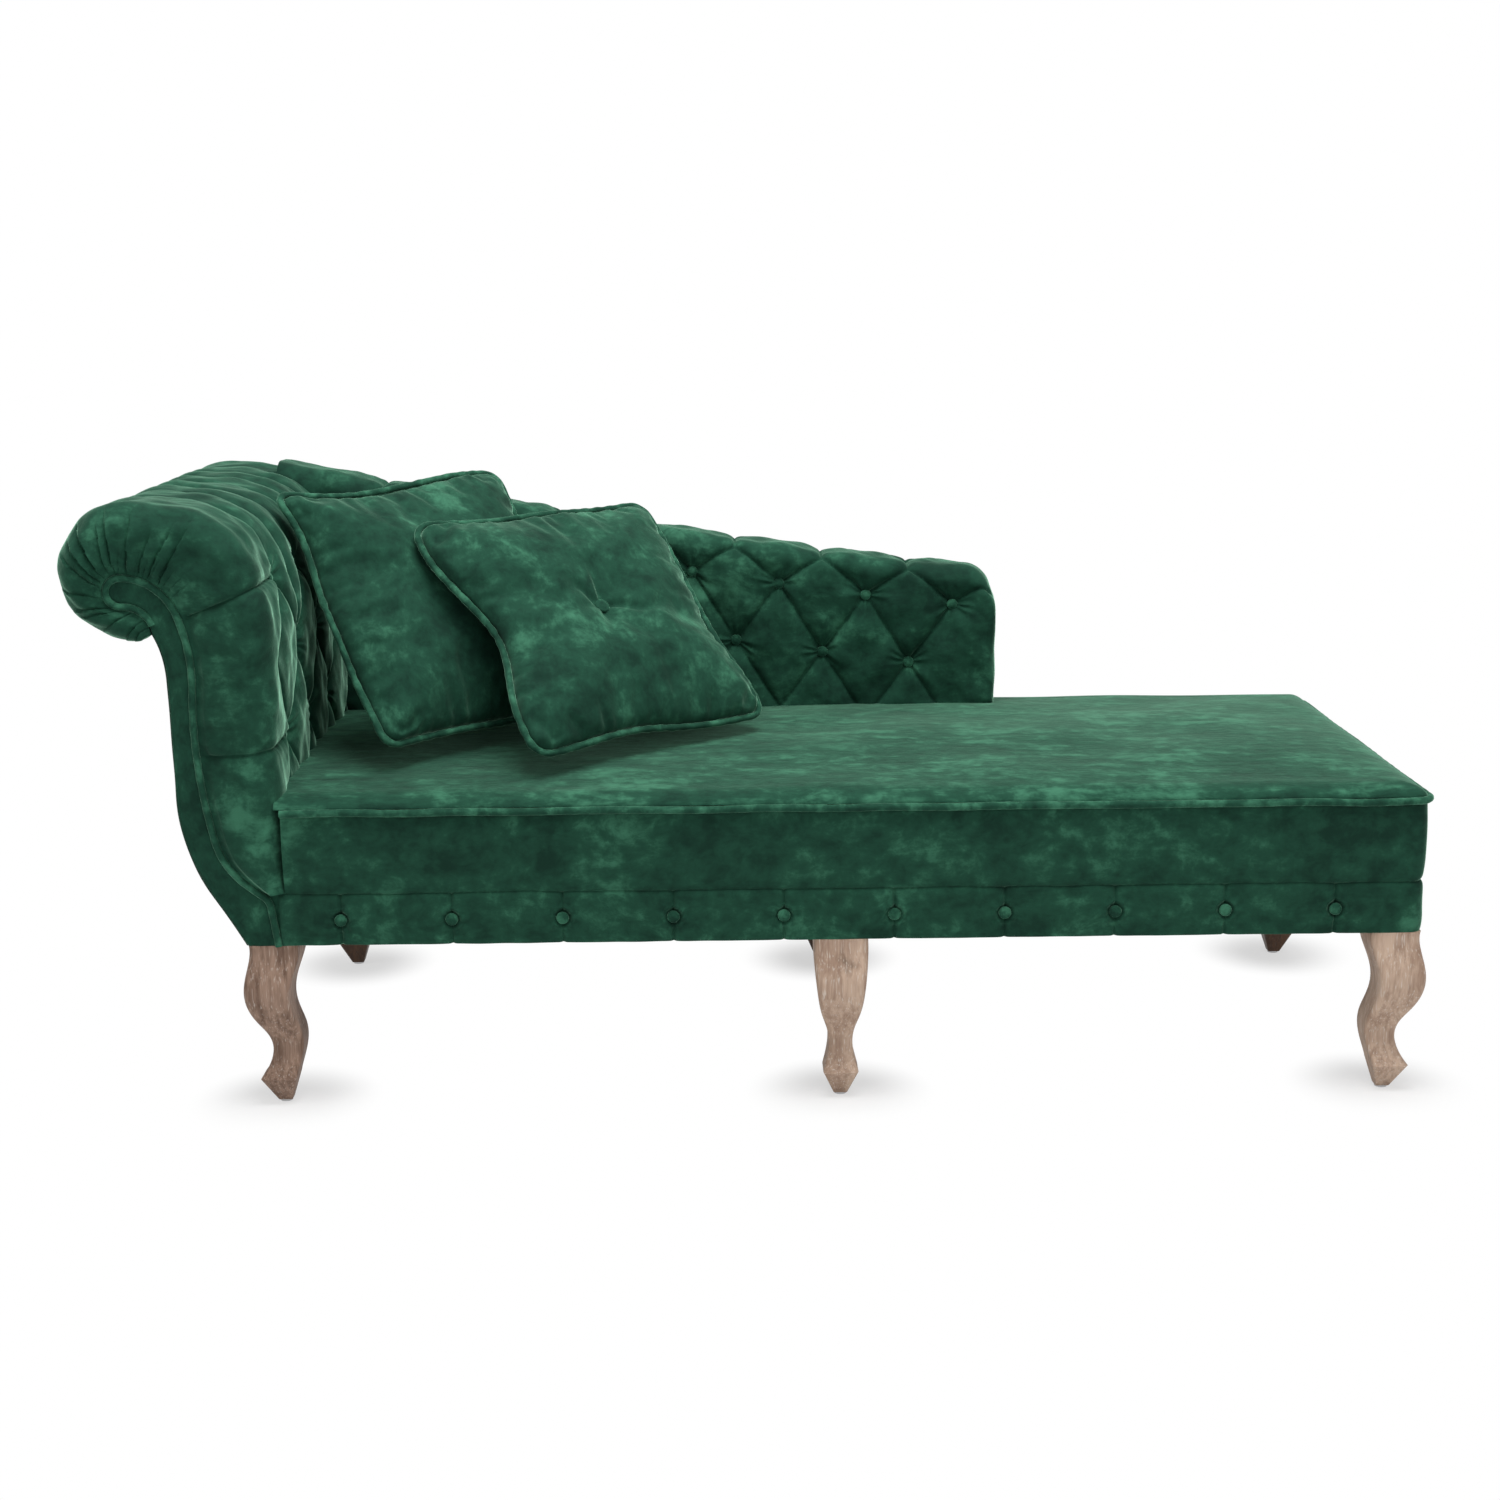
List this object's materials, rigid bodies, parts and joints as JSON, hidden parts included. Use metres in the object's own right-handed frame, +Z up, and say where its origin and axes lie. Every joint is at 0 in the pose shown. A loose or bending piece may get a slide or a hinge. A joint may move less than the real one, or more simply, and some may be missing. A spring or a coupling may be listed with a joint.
{
  "type": "chaise longue",
  "caption": "Velvet chaise longue with one scrolled arm, a button-tufted back falling to the foot end, a tight sprung seat, cabriole legs and loose scatter cushions.",
  "frame": {"origin": "middle of the footprint of the whole object, on the floor plane that its feet stand on", "axes": "+X from the scrolled arm towards the foot end, -Y towards the open front, +Z up"},
  "size_m": [1.7, 0.629, 0.7799],
  "materials": {
    "wood_front": "limed, weathered hardwood with a dry open grain",
    "wood_rear": "the same hardwood, stained dark brown",
    "steel": "zinc-plated steel",
    "frame_timber": "bare sawn softwood",
    "plywood": "bare birch plywood",
    "foam": "cut upholstery foam and polyester wadding",
    "hessian": "coarse woven hessian",
    "dust_cloth": "black spun-bonded cloth",
    "velvet": "crushed emerald velvet with a brushed, clouded pile",
    "velvet_trim": "the same velvet, pulled tight over cord and buttons"
  },
  "bodies": {
    "chaise": {"leg_front_left": "wood_front", "leg_front_middle": "wood_front", "leg_front_right": "wood_front", "leg_rear_left": "wood_rear", "leg_rear_middle": "wood_rear", "leg_rear_right": "wood_rear", "leg_glides": "steel", "leg_hanger_bolts": "steel", "leg_mounting_plates": "steel", "leg_plate_screws": "steel", "spring_clips": "steel", "seat_springs": "steel", "seat_rail_front": "frame_timber", "seat_rail_rear": "frame_timber", "seat_rail_foot_end": "frame_timber", "seat_rail_head_end": "frame_timber", "seat_cross_rails": "frame_timber", "corner_blocks": "frame_timber", "arm_slats": "frame_timber", "back_posts": "frame_timber", "back_top_rail": "frame_timber", "arm_scroll_board_front": "plywood", "arm_scroll_board_rear": "plywood", "arm_inner_panel": "plywood", "back_panel": "plywood", "seat_foam": "foam", "arm_pad": "foam", "back_pad": "foam", "rail_wadding": "foam", "hessian_sheet": "hessian", "dust_cover": "dust_cloth", "seat_cover": "velvet", "seat_boxing": "velvet", "lower_band": "velvet", "arm_inner_cover": "velvet", "arm_outer_cover": "velvet", "arm_facing_front": "velvet", "arm_facing_rear": "velvet", "back_inner_cover": "velvet", "back_outer_cover": "velvet", "seat_piping": "velvet_trim", "arm_facing_piping_front": "velvet_trim", "arm_facing_piping_rear": "velvet_trim", "band_buttons": "velvet_trim", "arm_buttons": "velvet_trim", "back_buttons": "velvet_trim"},
    "rear_cushion": {"rear_cushion_filling": "foam", "rear_cushion_cover": "velvet", "rear_cushion_piping": "velvet_trim"},
    "front_cushion": {"front_cushion_filling": "foam", "front_cushion_cover": "velvet", "front_cushion_piping": "velvet_trim", "front_cushion_buttons": "velvet_trim"}
  },
  "joints": [
    {"name": "rear_cushion_lift", "type": "slide", "parent": "chaise", "child": "rear_cushion", "axis": [0.5921, -0.5718, 0.5678], "range_m": [0, 0.35]},
    {"name": "front_cushion_lift", "type": "slide", "parent": "rear_cushion", "child": "front_cushion", "axis": [0.4556, -0.5391, 0.7083], "range_m": [0, 0.35]}
  ]
}
